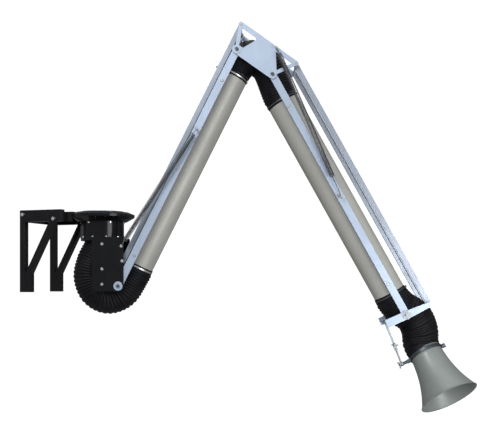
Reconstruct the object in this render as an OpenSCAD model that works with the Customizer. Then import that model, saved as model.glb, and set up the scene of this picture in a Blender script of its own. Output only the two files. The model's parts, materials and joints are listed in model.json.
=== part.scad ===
// Wall-mounted fume extraction arm: two spring-balanced parallelogram arms carry
// a 160 mm duct from a swivel console on the wall to an adjustable hood.
// +X points away from the wall, +Z is up. The origin is on the swivel axis, level
// with the top of the duct flange.

/* [Wall bracket] */
// Distance between the centre planes of the two wall frames
frame_spacing = 272; // [268:1:300]
// Height of each wall frame
frame_height = 408; // [390:1:430]
// Length of each frame's top rail, out from the wall
rail_length = 236; // [232:1:246]
// Width of the square tube used for posts and struts
frame_tube = 30; // [27:1:32]
// Height of the top rail
rail_height = 58; // [54:1:62]
// Distance from the wall to the swivel axis
swivel_reach = 382; // [378:1:400]

/* [Swivel] */
// Radius of the round nose of the console
console_radius = 160; // [150:1:170]
// Outer radius of the swivel drum
drum_radius = 107; // [104:1:110]
// Angle of the arm on its swivel, from straight out of the wall
rest_swing = 20; // [0:1:45]

/* [Duct] */
// Outer radius of the rigid duct tubes
duct_radius = 80; // [78:1:81]
// Wall of the rigid duct tubes
duct_wall = 2; // [1:0.5:3]

/* [Lower arm] */
// Distance from the lift pivot to the knee pivot
lower_arm_length = 1291; // [1200:1:1350]
// Angle of the lower arm above the horizontal
lower_arm_angle = 63.4; // [40:0.1:66]
// Drop of the duct's axis below the line of the arm's pivots
lower_duct_drop = 24.6; // [18:0.1:28]

/* [Upper arm] */
// Distance from the knee pivot to the end pivot
upper_arm_length = 1343; // [1250:1:1400]
// Angle of the upper arm below the horizontal
upper_arm_angle = 60.85; // [40:0.05:70]
// Drop of the duct's axis below the line of the arm's pivots
upper_duct_drop = 7; // [4:0.1:12]

/* [Linkage] */
// Width of the main channels
channel_width = 36; // [34:1:38]
// Width of the parallel rods
rod_width = 24; // [20:1:26]
// Length of the short links of the lower parallelogram
lower_link = 124; // [122:1:128]
// Length of the short links of the upper parallelogram
upper_link = 126.5; // [120:0.5:130]
// Distance between the two main pivots on the knee plate
knee_span = 212.5; // [205:0.5:220]

/* [Hood] */
// Radius of the hood's mouth
mouth_radius = 146; // [140:1:160]
// Length of the hood from collar centre to mouth
hood_length = 250; // [240:1:270]
// Angle of the hood's axis from straight down
hood_pitch = 24; // [10:1:35]
// Sideways roll of the hood on its stud
hood_roll = 26; // [0:1:30]

/* [Hidden] */
$fn = 64;

// Layers across the arm, measured out from the arm's middle plane
rod_inner = 80;
rod_depth = 12;
rod_outer = rod_inner + rod_depth;
channel_inner = 94;
channel_depth = 18;
channel_outer = channel_inner + channel_depth;
plate_inner = 114;
knee_plate_t = 4;
side_plate_t = 5;
spring_layer = 134;

// Fastener sizes
pivot_r = 6;
rod_pin_r = 5;
shoulder_r = 6.5;
stud_r = 4;
running_gap = 0.05;
washer_r = 22;
washer_t = 2;
head_r = 9;
head_h = 7;

function polar(length, angle) = [length * cos(angle), length * sin(angle)];

// Pivot points in the arm's plane: [out from the swivel axis, up from the rail top]
lower_link_angle = 80.5;
upper_link_angle = 24.4;
knee_angle = 35.1;
lift_pivot = [95, -371];
base_rod_pivot = lift_pivot + polar(lower_link, lower_link_angle);
knee_a = lift_pivot + polar(lower_arm_length, lower_arm_angle);
knee_b = knee_a + polar(knee_span, -knee_angle);
knee_rod_a = knee_a + polar(lower_link, lower_link_angle);
knee_rod_b = knee_b + polar(upper_link, upper_link_angle);
end_pivot = knee_b + polar(upper_arm_length, -upper_arm_angle);
end_rod_pivot = end_pivot + polar(upper_link, upper_link_angle);

// Spring anchors
lower_spring_base = lift_pivot + [18, 194];
lower_spring_reach = 856;
lower_spring_top = lift_pivot + polar(lower_spring_reach, lower_arm_angle);
upper_spring_base = knee_b + [18, 126];
upper_spring_reach = 686;
upper_spring_top = knee_b + polar(upper_spring_reach, -upper_arm_angle);

// Hood suspension
yoke_reach = 98;
yoke_tail = end_pivot + polar(yoke_reach, 180 + upper_link_angle);
pitch_pivot = yoke_tail + [47, -113];
stud_end = pitch_pivot + [37, -97];
stud_reach = 133;
collar_centre = stud_end + polar(stud_reach, hood_pitch);

// Where the rigid ducts start and end, along each arm from its inner pivot
lower_duct_start = 108;
lower_duct_end = lower_arm_length - 87;
upper_duct_start = 105;
upper_duct_end = upper_arm_length - 102;

// Placement helpers

// Puts a shape drawn from the wall face into place
module from_wall() {
    translate([-swivel_reach, 0, 0]) children();
}

// Swings a shape drawn straight out of the wall to the rest angle
module on_swivel() {
    rotate([0, 0, rest_swing]) children();
}

// Puts a shape on an arm, local X along the arm and local Z towards its rods
module on_arm(start, angle) {
    on_swivel() translate([start.x, 0, start.y]) rotate([0, -angle, 0]) children();
}

// Puts a shape on the hood: local -Z towards the mouth, local X along the stud
module on_hood() {
    on_arm(collar_centre, hood_pitch) rotate([-hood_roll, 0, 0]) children();
}

// Shows a shape on the left, where it is drawn, and mirrored on the right
module both_sides() {
    children();
    mirror([0, 1, 0]) children();
}

// Thickens an outline drawn in the X-Z plane, from y to y + thickness
module plate(y, thickness) {
    translate([0, y + thickness, 0]) rotate([90, 0, 0]) linear_extrude(thickness) children();
}

// Round bar across the arm, from y0 to y1
module cross_pin(at, radius, y0, y1) {
    translate([at.x, y1, at.y]) rotate([90, 0, 0]) cylinder(h = y1 - y0, r = radius);
}

// Flat bar outline with round ends
module bar(from, to, width) {
    run = to - from;
    length = norm(run);
    translate(from) rotate(atan2(run.y, run.x)) {
        translate([0, -width / 2]) square([length, width]);
        circle(width / 2);
        translate([length, 0]) circle(width / 2);
    }
}

// Bar outline that tapers between two end circles, with true tangent sides
module taper(from, r_from, to, r_to) {
    run = to - from;
    length = norm(run);
    side = acos((r_from - r_to) / length);
    translate(from) rotate(atan2(run.y, run.x)) {
        circle(r_from);
        translate([length, 0]) circle(r_to);
        polygon([
            polar(r_from, side), polar(r_from, -side),
            [length, 0] + polar(r_to, -side), [length, 0] + polar(r_to, side)
        ]);
    }
}

// Pipe ring along Z
module ring(outer, inner, z0, z1) {
    translate([0, 0, z0]) difference() {
        cylinder(h = z1 - z0, r = outer);
        translate([0, 0, -1]) cylinder(h = z1 - z0 + 2, r = inner);
    }
}

// Pipe ring along local X, on an arm's duct axis
module duct_ring(drop, outer, inner, x0, x1) {
    translate([0, 0, -drop]) rotate([0, 90, 0]) ring(outer, inner, x0, x1);
}

// Bolt across the left side of the arm, its head outside
module side_bolt(at, radius, y0, y1, head_radius, head_height) {
    cross_pin(at, radius, y0, y1);
    translate([at.x, y1 + head_height, at.y]) rotate([90, 0, 0])
        cylinder(h = head_height, r = head_radius, $fn = 6);
}

// Wall bracket

bolt_hole_r = 5.5;
upper_hole_z = -78;
lower_hole_z = -350;
frame_top = 6;
foot_depth = 64;
foot_top = -300;
strut_foot = [50, -304];
strut_head = [188, -46];
rail_wall = 3;
console_bolts_at = [[17, -16], [194, -40]];

module frame_outline() {
    translate([0, frame_top - frame_height]) square([frame_tube, frame_height]);
    translate([0, frame_top - rail_height]) square([rail_length, rail_height]);
    translate([0, frame_top - frame_height])
        square([foot_depth, frame_height - frame_top + foot_top]);
    bar(strut_foot, strut_head, frame_tube - 2);
}

module wall_frame(y) {
    color("#15161a")
    from_wall() difference() {
        plate(y - frame_tube / 2, frame_tube) frame_outline();
        // the rail is an open-ended tube
        translate([frame_tube, y - frame_tube / 2, frame_top - rail_height]) translate(rail_wall * [0, 1, 1])
            cube([rail_length, frame_tube - 2 * rail_wall, rail_height - 2 * rail_wall]);
        for (z = [upper_hole_z, lower_hole_z])
            translate([-1, y, z]) rotate([0, 90, 0])
                cylinder(h = foot_depth + 2, r = bolt_hole_r);
        for (at = console_bolts_at)
            cross_pin(at, rod_pin_r + 0.2, y - frame_tube, y + frame_tube);
    }
}

module wall_frame_left() { wall_frame(frame_spacing / 2); }
module wall_frame_right() { wall_frame(-frame_spacing / 2); }

cap_t = 3;

module rail_end_caps() {
    color("#4a4d52")
    from_wall() both_sides()
        translate([rail_length, frame_spacing / 2 - frame_tube / 2 + 1, frame_top - rail_height + 1])
            cube([cap_t, frame_tube - 2, rail_height - 2]);
}

flange_bolt_circle = 92;
flange_hole_r = 3.3;

module flange_holes() {
    for (a = [45:90:315])
        rotate(a) translate([flange_bolt_circle, 0, console_top - 2 * console_t])
            cylinder(h = 4 * console_t, r = flange_hole_r);
}

console_top = -5;
console_t = 5;
console_bottom = -52;
nose_upper = -17;
nose_lower = -30;
nose_top_r = 132;
nose_lip_r = 122;
skirt_t = 3;
tongue_start = 2;
tongue_end = 282;
tongue_half = frame_spacing / 2 - frame_tube / 2 - 0.5;

// Round nose: flat on top, bevelled to a rim and drawn in below to an open lip
module nose_outside() {
    rotate_extrude($fn = 128) polygon([
        [0, console_top], [nose_top_r, console_top], [console_radius, nose_upper],
        [console_radius, nose_lower], [nose_lip_r, console_bottom], [0, console_bottom]
    ]);
}

module nose_inside() {
    rim = console_radius - skirt_t;
    rotate_extrude($fn = 128) polygon([
        [0, console_top - console_t], [nose_top_r - skirt_t, console_top - console_t],
        [rim, nose_upper - 2], [rim, nose_lower + 1.7],
        [nose_lip_r - 2 * skirt_t, console_bottom], [nose_lip_r - 2 * skirt_t, console_bottom - 1],
        [0, console_bottom - 1]
    ]);
}

// Straight tongue between the wall frames, drawn in by inset, from z0 to z1
module tongue(inset, z0, z1) {
    from_wall() translate([tongue_start + inset, inset - tongue_half, z0])
        cube([tongue_end - tongue_start, 2 * (tongue_half - inset), z1 - z0]);
}

module console() {
    color("#101114")
    difference() {
        union() {
            nose_outside();
            tongue(0, console_bottom, console_top);
        }
        nose_inside();
        tongue(skirt_t, console_bottom - 1, console_top - console_t);
        translate([0, 0, console_top - 2 * console_t])
            cylinder(h = 4 * console_t, r = duct_radius);
        from_wall() for (at = console_bolts_at)
            cross_pin(at, rod_pin_r + 0.2, -tongue_half - 1, tongue_half + 1);
        flange_holes();
    }
}

module console_bolts() {
    color("#c9cccf")
    from_wall() both_sides() for (at = console_bolts_at)
        side_bolt(at, rod_pin_r, tongue_half - 10,
            frame_spacing / 2 + frame_tube / 2, head_r, head_h);
}

flange_t = 5;
flange_radius = 105;

module duct_flange() {
    color("#5b5e61")
    difference() {
        ring(flange_radius, duct_radius, console_top, console_top + flange_t);
        flange_holes();
    }
}

// Swivel bearing: a fixed housing, two plastic rings and the rotating drum

housing_top = console_top - console_t;
housing_bottom = housing_top - 26;
step_z = housing_top - 14;
neck_outer = 85;
neck_inner = 81;
drum_top = -40;
drum_bottom = -137;
drum_wall = 3;

module bearing_housing() {
    color("#1b1c20")
    difference() {
        ring(drum_radius - 1, 88, housing_bottom, housing_top);
        translate([0, 0, step_z]) cylinder(h = 40, r = 96);
    }
}

module thrust_ring() {
    color("#e8e4d8") ring(95, 86, step_z, step_z + 2);
}

module slide_ring() {
    color("#e8e4d8") ring(88, neck_outer + running_gap, housing_bottom + 1, step_z);
}

module retaining_ring() {
    color("#8d9195")
    on_swivel() ring(94, neck_inner, step_z + 2.1, step_z + 7);
}

module swivel_drum() {
    color("#0e0f12")
    on_swivel() {
        ring(neck_outer, neck_inner, drum_top - 1, step_z + 2.1);
        ring(drum_radius, neck_inner, drum_top - 4, drum_top);
        ring(drum_radius, drum_radius - drum_wall, drum_bottom, drum_top);
        ring(drum_radius, duct_radius, drum_bottom, drum_bottom + 4);
    }
}

module radial_screws(count, phase, z) {
    for (i = [0:count - 1])
        rotate([0, 0, phase + i * 360 / count])
            translate([drum_radius - 0.3, 0, z]) rotate([0, 90, 0])
                cylinder(h = 3.5, r1 = 6, r2 = 4);
}

module drum_screws() {
    color("#b9bcc0")
    on_swivel() {
        radial_screws(6, -120, -57);
        radial_screws(10, -143, -129);
    }
}

turntable_t = 10;
spigot_drop = 34;
hanger_bottom = -382;
hanger_x = [4, 29];

module turntable_plate() {
    color("#141519")
    on_swivel() {
        difference() {
            translate([0, 0, drum_bottom - turntable_t]) linear_extrude(turntable_t) {
                circle(drum_radius);
                translate([-32, -plate_inner]) square([140, 2 * plate_inner]);
            }
            translate([0, 0, -200]) cylinder(h = 100, r = duct_radius - duct_wall);
        }
        ring(duct_radius, duct_radius - duct_wall,
            drum_bottom - turntable_t - spigot_drop, drum_bottom - turntable_t);
    }
}

module hanger_bars() {
    color("#17181c")
    on_swivel() both_sides()
        translate([hanger_x[0], channel_inner + 2, hanger_bottom])
            cube([hanger_x[1] - hanger_x[0], plate_inner - channel_inner - 2,
                drum_bottom - turntable_t - hanger_bottom]);
}

plate_top = -131;
plate_back = -32;
plate_margin = 26;
plate_corner = 30;
plate_front = lift_pivot.x + plate_margin;
plate_bottom = lift_pivot.y - plate_margin;

module side_plate_outline() {
    difference() {
        union() {
            translate([plate_back, plate_bottom + plate_corner])
                square([plate_front - plate_back, plate_top - plate_bottom - plate_corner]);
            translate([plate_back + plate_corner, plate_bottom])
                square([lift_pivot.x - plate_back - plate_corner, 2 * plate_corner]);
            translate([plate_back + plate_corner, plate_bottom + plate_corner])
                circle(plate_corner);
            translate(lift_pivot) circle(plate_margin);
            translate(lift_pivot) square([plate_margin, 2 * plate_corner]);
        }
        translate(lift_pivot) circle(pivot_r + running_gap);
        translate(base_rod_pivot) circle(rod_pin_r + running_gap);
        translate(lower_spring_base) circle(stud_r + running_gap);
    }
}

module side_plate() {
    color("#121317") on_swivel() plate(plate_inner, side_plate_t) side_plate_outline();
}

module side_plate_left() { side_plate(); }

module side_plate_right() {
    color("#121317")
    on_swivel() mirror([0, 1, 0]) plate(plate_inner, side_plate_t) side_plate_outline();
}

side_screws = [[16.5, -166], [16.5, -288], [16.5, -362]];

module side_plate_screws() {
    color("#c9cccf")
    on_swivel() both_sides() for (at = side_screws)
        translate([at.x, plate_inner + side_plate_t, at.y]) rotate([-90, 0, 0])
            cylinder(h = 4, r1 = 8, r2 = 6);
}

module pivot_bolt(at, face) {
    cross_pin(at, pivot_r, channel_inner + 1, face + washer_t);
    translate([at.x, face + washer_t + head_h, at.y]) rotate([90, 0, 0])
        cylinder(h = head_h, r = head_r, $fn = 6);
}

module pivot_washer(at, face) {
    difference() {
        cross_pin(at, washer_r, face, face + washer_t);
        cross_pin(at, pivot_r + running_gap, face - 1, face + washer_t + 1);
    }
}

module rod_bolt(at, face) {
    side_bolt(at, rod_pin_r, rod_inner - 3, face, head_r - 1, head_h);
    difference() {
        cross_pin(at, shoulder_r, rod_outer + 0.5, plate_inner);
        cross_pin(at, rod_pin_r, rod_inner, plate_inner + 1);
    }
}

module spring_stud(at, face) {
    side_bolt(at, stud_r, face - 4, spring_layer + 4, head_r - 2, 4);
}

module base_pivot_bolts() {
    color("#2c2e32")
    on_swivel() both_sides() pivot_bolt(lift_pivot, plate_inner + side_plate_t);
}

module base_pivot_washers() {
    color("#d5d8da")
    on_swivel() both_sides() pivot_washer(lift_pivot, plate_inner + side_plate_t);
}

module base_rod_bolts() {
    color("#c9cccf")
    on_swivel() both_sides() {
        rod_bolt(base_rod_pivot, plate_inner + side_plate_t);
        spring_stud(lower_spring_base, plate_inner + side_plate_t);
    }
}

// Flexible hoses, as plain hollow solids

hose_r = 80;
hose_wall = 3;

// Hollow bend in the arm's plane, from one angle through a sweep
module hose_bend(bend_radius, radius, start, sweep) {
    rotate([90, 0, 0]) rotate(start) rotate_extrude(angle = sweep)
        translate([bend_radius, 0]) difference() {
            circle(radius);
            circle(radius - hose_wall);
        }
}

// The base hose leans back below the spigot, then turns under towards the lower arm
hose_top = -185;
lean_bend_r = 130;
lean_angle = 45;
under_bend_r = 95;
under_angle = 150;
under_centre = [-lean_bend_r, hose_top] + polar(lean_bend_r + under_bend_r, -lean_angle);

module base_hose() {
    color("#16171a")
    on_swivel() {
        translate([-lean_bend_r, 0, hose_top])
            hose_bend(lean_bend_r, hose_r - 1, -lean_angle, lean_angle);
        translate([under_centre.x, 0, under_centre.y])
            hose_bend(under_bend_r, hose_r, 180 - lean_angle, under_angle);
    }
}

knee_bend = [knee_a.x + 83, knee_a.y - 93];
knee_bend_r = 84;
knee_hose_r = 78;

module knee_hose() {
    color("#16171a")
    on_swivel() translate([knee_bend.x, 0, knee_bend.y])
        hose_bend(knee_bend_r, knee_hose_r, 62, 46);
}

end_hose_start = end_pivot + [28, 31];
end_hose_length = 40;

module end_hose() {
    color("#16171a")
    on_arm(end_hose_start, -63) duct_ring(0, hose_r, hose_r - hose_wall, 0, end_hose_length);
}

// Arms

rivet_r = 8;
cuff_over = 30;
cuff_free = 15;
cuff_t = 3;
clamp_t = 1.5;
clamp_w = 10;
bush_r = 8;
channel_wall = 2.5;

module duct(drop, x0, x1) {
    duct_ring(drop, duct_radius, duct_radius - duct_wall, x0, x1);
}

// Main channel: a U section with its web outside and a boss at each pivot
module channel(length) {
    difference() {
        plate(channel_inner, channel_depth) bar([0, 0], [length, 0], channel_width);
        plate(channel_inner - 1, channel_depth + 1 - channel_wall)
            difference() {
                bar([0, 0], [length, 0], channel_width - 2 * channel_wall);
                circle(bush_r + 4);
                translate([length, 0]) circle(bush_r + 4);
            }
        for (x = [0, length])
            cross_pin([x, 0], pivot_r + running_gap, channel_inner - 1, channel_outer + 1);
    }
}

module friction_disc(x) {
    difference() {
        cross_pin([x, 0], washer_r - 4, channel_outer, channel_outer + 1.9);
        cross_pin([x, 0], pivot_r + running_gap, channel_outer - 1, channel_outer + 3);
    }
}

// Spacers that carry the duct between the channels, with their screw heads
module spacers(length, drop) {
    both_sides() for (share = [0.13, 0.5, 0.87]) {
        at = [share * length, -4];
        difference() {
            cross_pin(at, rivet_r, duct_radius - 10, channel_outer - channel_wall);
            duct_ring(drop, duct_radius, 1, 0, length);
        }
        translate([at.x, channel_outer, at.y]) rotate([-90, 0, 0])
            cylinder(h = 3, r1 = 8, r2 = 5.5);
    }
}

module cuffs(drop, x0, x1) {
    duct_ring(drop, duct_radius + cuff_t, duct_radius, x0 - cuff_free, x0 + cuff_over);
    duct_ring(drop, duct_radius + cuff_t, duct_radius, x1 - cuff_over, x1 + cuff_free);
}

module clamps(drop, x0, x1) {
    clamp_inner = duct_radius + cuff_t;
    for (x = [x0 + cuff_over - clamp_w - 6, x1 - cuff_over + 6])
        duct_ring(drop, clamp_inner + clamp_t, clamp_inner, x, x + clamp_w);
}

// Parallel rod: a shallow U section with an eye at each end
module rod(from, to, open_gap) {
    difference() {
        plate(rod_inner, rod_depth) bar(from, to, rod_width);
        plate(rod_inner - 1, rod_depth - 1) difference() {
            bar(from, to, rod_width - 5);
            translate(from) circle(rod_pin_r + 4);
            translate(to) circle(rod_pin_r + 4);
        }
        cross_pin(from, rod_pin_r + running_gap, rod_inner - 1, rod_outer + 1);
        cross_pin(to, rod_pin_r + open_gap, rod_inner - 1, rod_outer + 1);
    }
}

open_pivot_gap = 0.5;
spring_r = 12;
spring_wall = 1.5;
hook_r = 2.5;
eye_r = 8;
eye_half = 3.5;
start_gap = 38;

module rotate_to(from, run) {
    translate([from.x, 0, from.y]) rotate([0, -atan2(run.y, run.x), 0]) children();
}

// Round bar along a spring's line, from x0 to x1
module spring_bar(radius, x0, x1) {
    translate([x0, spring_layer, 0]) rotate([0, 90, 0]) cylinder(h = x1 - x0, r = radius);
}

module spring_eye() {
    difference() {
        cross_pin([0, 0], eye_r, spring_layer - eye_half, spring_layer + eye_half);
        cross_pin([0, 0], stud_r + running_gap, spring_layer - 9, spring_layer + 9);
    }
}

// Spring as a plain sleeve that turns on its fixed stud
module spring_sleeve(from, to, end_gap) {
    run = to - from;
    rotate_to(from, run) {
        translate([0, spring_layer, 0]) rotate([0, 90, 0])
            ring(spring_r, spring_r - spring_wall, start_gap, norm(run) - end_gap);
        spring_bar(spring_r - 1, start_gap + 2, start_gap + 8);
        spring_bar(hook_r, eye_r - 1, start_gap + 5);
        spring_eye();
    }
}

// Draw hook that turns on the moving stud and slides in the spring's open end
module spring_hook(stud, run, length) {
    rotate_to(stud, run) {
        spring_bar(hook_r, -length, 1 - eye_r);
        spring_eye();
    }
}

lower_spring_gap = 44;
upper_spring_gap = 100;
lower_hook_length = 210;
upper_hook_length = 190;

module lower_duct() {
    color("#a09f97")
    on_arm(lift_pivot, lower_arm_angle) duct(lower_duct_drop, lower_duct_start, lower_duct_end);
}

module lower_channel_left() {
    color("#c8ccd0") on_arm(lift_pivot, lower_arm_angle) channel(lower_arm_length);
}

module lower_channel_right() {
    color("#c8ccd0")
    on_arm(lift_pivot, lower_arm_angle) mirror([0, 1, 0]) channel(lower_arm_length);
}

module lower_spacers() {
    color("#a9adb1")
    on_arm(lift_pivot, lower_arm_angle) {
        spacers(lower_arm_length, lower_duct_drop);
        both_sides() spring_stud([lower_spring_reach, 0], channel_outer);
    }
}

module lower_hose_cuffs() {
    color("#1a1b1e")
    on_arm(lift_pivot, lower_arm_angle) cuffs(lower_duct_drop, lower_duct_start, lower_duct_end);
}

module lower_hose_clamps() {
    color("#b9bcc0")
    on_arm(lift_pivot, lower_arm_angle) clamps(lower_duct_drop, lower_duct_start, lower_duct_end);
}

module lower_friction_discs() {
    color("#3a2f28")
    on_arm(lift_pivot, lower_arm_angle) both_sides() {
        friction_disc(0);
        friction_disc(lower_arm_length);
    }
}

module lower_rod_left() {
    color("#c0c4c9") on_swivel() rod(base_rod_pivot, knee_rod_a, open_pivot_gap);
}

module lower_rod_right() {
    color("#c0c4c9")
    on_swivel() mirror([0, 1, 0]) rod(base_rod_pivot, knee_rod_a, open_pivot_gap);
}

module lower_springs() {
    color("#2a2b2e")
    on_swivel() both_sides()
        spring_sleeve(lower_spring_base, lower_spring_top, lower_spring_gap);
}

module lower_spring_hooks() {
    color("#3a3b3e")
    on_swivel() both_sides()
        spring_hook(lower_spring_top, lower_spring_top - lower_spring_base, lower_hook_length);
}

// Knee

knee_notch = knee_a + [92, 42];
knee_corner_a = knee_a + [93, 60];
knee_corner_b = knee_a + [190, 8];
top_bar_width = 24;
link_bar_width = 18;

module knee_web() {
    plate(plate_inner, knee_plate_t) bar(knee_rod_a, knee_rod_b, top_bar_width);
    plate(plate_inner, knee_plate_t) bar(knee_a, knee_rod_a, link_bar_width);
    plate(plate_inner, knee_plate_t) bar(knee_b, knee_rod_b, link_bar_width);
    plate(plate_inner, knee_plate_t) bar(knee_a, knee_b, 44);
    plate(plate_inner, knee_plate_t) polygon([
        knee_a + [30, 6], knee_notch, knee_corner_a, knee_corner_b,
        knee_b + [20, 18], knee_b + [18, -8], knee_b, knee_a
    ]);
}

module plate_hole(at, radius) {
    cross_pin(at, radius + running_gap, plate_inner - 1, plate_inner + knee_plate_t + 1);
}

module knee_side() {
    difference() {
        knee_web();
        for (at = [knee_a, knee_b]) plate_hole(at, pivot_r);
        for (at = [knee_rod_a, knee_rod_b]) plate_hole(at, rod_pin_r);
        plate_hole(upper_spring_base, stud_r);
    }
}

module knee_plate_left() { color("#ccd0d4") on_swivel() knee_side(); }
module knee_plate_right() { color("#ccd0d4") on_swivel() mirror([0, 1, 0]) knee_side(); }

tie_head_h = 3;

module knee_ties() {
    color("#aeb2b6")
    on_swivel() {
        for (at = [knee_rod_a, knee_rod_b])
            cross_pin(at, rod_pin_r, -plate_inner - knee_plate_t, plate_inner + knee_plate_t);
        both_sides() for (at = [knee_rod_a, knee_rod_b]) {
            translate([at.x, plate_inner + knee_plate_t + tie_head_h, at.y])
                rotate([90, 0, 0]) cylinder(h = tie_head_h, r = head_r - 1, $fn = 6);
            difference() {
                cross_pin(at, shoulder_r, rod_outer + 0.5, plate_inner);
                cross_pin(at, rod_pin_r, rod_inner, plate_inner + 1);
            }
        }
        both_sides() spring_stud(upper_spring_base, plate_inner + knee_plate_t);
    }
}

module knee_pivot_bolts() {
    color("#2c2e32")
    on_swivel() both_sides() for (at = [knee_a, knee_b])
        pivot_bolt(at, plate_inner + knee_plate_t);
}

module knee_pivot_washers() {
    color("#d5d8da")
    on_swivel() both_sides() for (at = [knee_a, knee_b])
        pivot_washer(at, plate_inner + knee_plate_t);
}

// Upper arm

module upper_duct() {
    color("#a09f97")
    on_arm(knee_b, -upper_arm_angle) duct(upper_duct_drop, upper_duct_start, upper_duct_end);
}

module upper_channel_left() {
    color("#c8ccd0") on_arm(knee_b, -upper_arm_angle) channel(upper_arm_length);
}

module upper_channel_right() {
    color("#c8ccd0")
    on_arm(knee_b, -upper_arm_angle) mirror([0, 1, 0]) channel(upper_arm_length);
}

module upper_spacers() {
    color("#a9adb1")
    on_arm(knee_b, -upper_arm_angle) {
        spacers(upper_arm_length, upper_duct_drop);
        both_sides() spring_stud([upper_spring_reach, 0], channel_outer);
    }
}

module upper_hose_cuffs() {
    color("#1a1b1e")
    on_arm(knee_b, -upper_arm_angle) cuffs(upper_duct_drop, upper_duct_start, upper_duct_end);
}

module upper_hose_clamps() {
    color("#b9bcc0")
    on_arm(knee_b, -upper_arm_angle) clamps(upper_duct_drop, upper_duct_start, upper_duct_end);
}

module upper_friction_discs() {
    color("#3a2f28")
    on_arm(knee_b, -upper_arm_angle) both_sides() {
        friction_disc(0);
        friction_disc(upper_arm_length);
    }
}

module upper_rod_left() {
    color("#c0c4c9") on_swivel() rod(knee_rod_b, end_rod_pivot, open_pivot_gap);
}

module upper_rod_right() {
    color("#c0c4c9")
    on_swivel() mirror([0, 1, 0]) rod(knee_rod_b, end_rod_pivot, open_pivot_gap);
}

module upper_springs() {
    color("#2a2b2e")
    on_swivel() both_sides()
        spring_sleeve(upper_spring_base, upper_spring_top, upper_spring_gap);
}

module upper_spring_hooks() {
    color("#3a3b3e")
    on_swivel() both_sides()
        spring_hook(upper_spring_top, upper_spring_top - upper_spring_base, upper_hook_length);
}

// End yoke and hood

yoke_wide = 20;
yoke_lap = 10;
yoke_narrow = 12;
cross_bar_r = 8;

module end_yoke() {
    color("#d2d5d8")
    on_swivel() {
        both_sides() difference() {
            union() {
                plate(plate_inner, knee_plate_t)
                    translate(yoke_tail) rotate(upper_link_angle) translate([-yoke_lap, -yoke_wide])
                        square([yoke_reach + yoke_lap, 2 * yoke_wide]);
                plate(plate_inner, knee_plate_t)
                    taper(end_pivot, yoke_wide, end_rod_pivot, yoke_narrow);
            }
            plate_hole(end_pivot, pivot_r);
            plate_hole(end_rod_pivot, rod_pin_r);
        }
        difference() {
            cross_pin(yoke_tail, cross_bar_r, -plate_inner - 1, plate_inner + 1);
            difference() {
                cross_pin(yoke_tail, cross_bar_r + 1, -12, 12);
                cross_pin(yoke_tail, pivot_r, -13, 13);
            }
        }
    }
}

module end_pivot_bolts() {
    color("#9fa3a7")
    on_swivel() both_sides() {
        pivot_bolt(end_pivot, plate_inner + knee_plate_t);
        pivot_washer(end_pivot, plate_inner + knee_plate_t);
    }
}

module end_rod_bolts() {
    color("#9fa3a7")
    on_swivel() both_sides() rod_bolt(end_rod_pivot, plate_inner + knee_plate_t);
}

link_t = 5;
link_w = 11;
link_eye_r = 9;
link_rod_r = 4.5;
clamp_bolt_r = 4;

module hood_link_upper() {
    color("#8f949a")
    on_swivel() {
        difference() {
            union() {
                plate(-link_t, link_t) bar(yoke_tail, pitch_pivot, link_w);
                plate(-link_t, link_t) translate(yoke_tail) circle(12);
                plate(-link_t, link_t) translate(pitch_pivot) circle(link_eye_r);
            }
            cross_pin(yoke_tail, pivot_r + running_gap, -link_t - 1, 1);
        }
        cross_pin(pitch_pivot, clamp_bolt_r, -link_t - 20, link_t + 4);
        cross_pin(pitch_pivot, 7, link_t + 0.3, link_t + 4);
    }
}

module hood_link_lower() {
    color("#9ba0a6")
    on_swivel() {
        difference() {
            plate(0.1, link_t) bar(pitch_pivot, pitch_pivot + [9, -24], 2 * link_eye_r);
            cross_pin(pitch_pivot, clamp_bolt_r + running_gap, -1, link_t + 1);
        }
        run = stud_end - pitch_pivot;
        rotate_to(pitch_pivot, run) translate([18, link_t / 2, 0]) rotate([0, 90, 0])
            cylinder(h = norm(run) - 28, r = link_rod_r);
        on_arm_plane(stud_end, hood_pitch) difference() {
            rotate([0, 90, 0]) cylinder(h = 6, r = 12);
            translate([-1, 0, 0]) rotate([0, 90, 0]) cylinder(h = 8, r = clamp_bolt_r + running_gap);
        }
    }
}

module on_arm_plane(at, angle) {
    translate([at.x, 0, at.y]) rotate([0, -angle, 0]) children();
}

// Wing nut with its axis along Z and its wings along X
module wing_nut() {
    difference() {
        union() {
            cylinder(h = 10, r1 = 9, r2 = 7);
            for (a = [0, 180]) rotate(a) translate([5, -2, 3]) rotate([0, -28, 0])
                cube([16, 4, 10]);
        }
        translate([0, 0, -1]) cylinder(h = 40, r = clamp_bolt_r + running_gap);
    }
}

module pitch_wing_nut() {
    color("#a4a8ad")
    on_swivel() translate([pitch_pivot.x, -link_t - 0.2, pitch_pivot.y])
        rotate([90, 0, 0]) wing_nut();
}

module roll_wing_nut() {
    color("#a4a8ad")
    on_swivel() on_arm_plane(stud_end, hood_pitch)
        translate([-0.2, 0, 0]) rotate([0, -90, 0]) rotate(20) wing_nut();
}

neck_r = 82;
neck_t = 2.5;
collar_half = 8;
collar_t = 4;
neck_end = 78;

module hood_collar() {
    color("#17181b")
    on_hood() {
        difference() {
            ring(neck_r + collar_t, neck_r, -collar_half, collar_half);
            rotate([0, 90, 0]) cylinder(h = 200, r = clamp_bolt_r + running_gap);
        }
        // lug, spacer and threaded stud on the link side
        difference() {
            union() {
                translate([-neck_r - 22, -9, -collar_half]) cube([24, 18, 2 * collar_half]);
                translate([6.1 - stud_reach, 0, 0]) rotate([0, 90, 0])
                    cylinder(h = stud_reach - neck_r - 8, r = 8);
            }
            translate([0, 0, -30]) cylinder(h = 60, r = neck_r + 1);
        }
        translate([-stud_reach - 16, 0, 0]) rotate([0, 90, 0])
            cylinder(h = stud_reach + 16 - neck_r - 20, r = clamp_bolt_r);
    }
}

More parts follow.
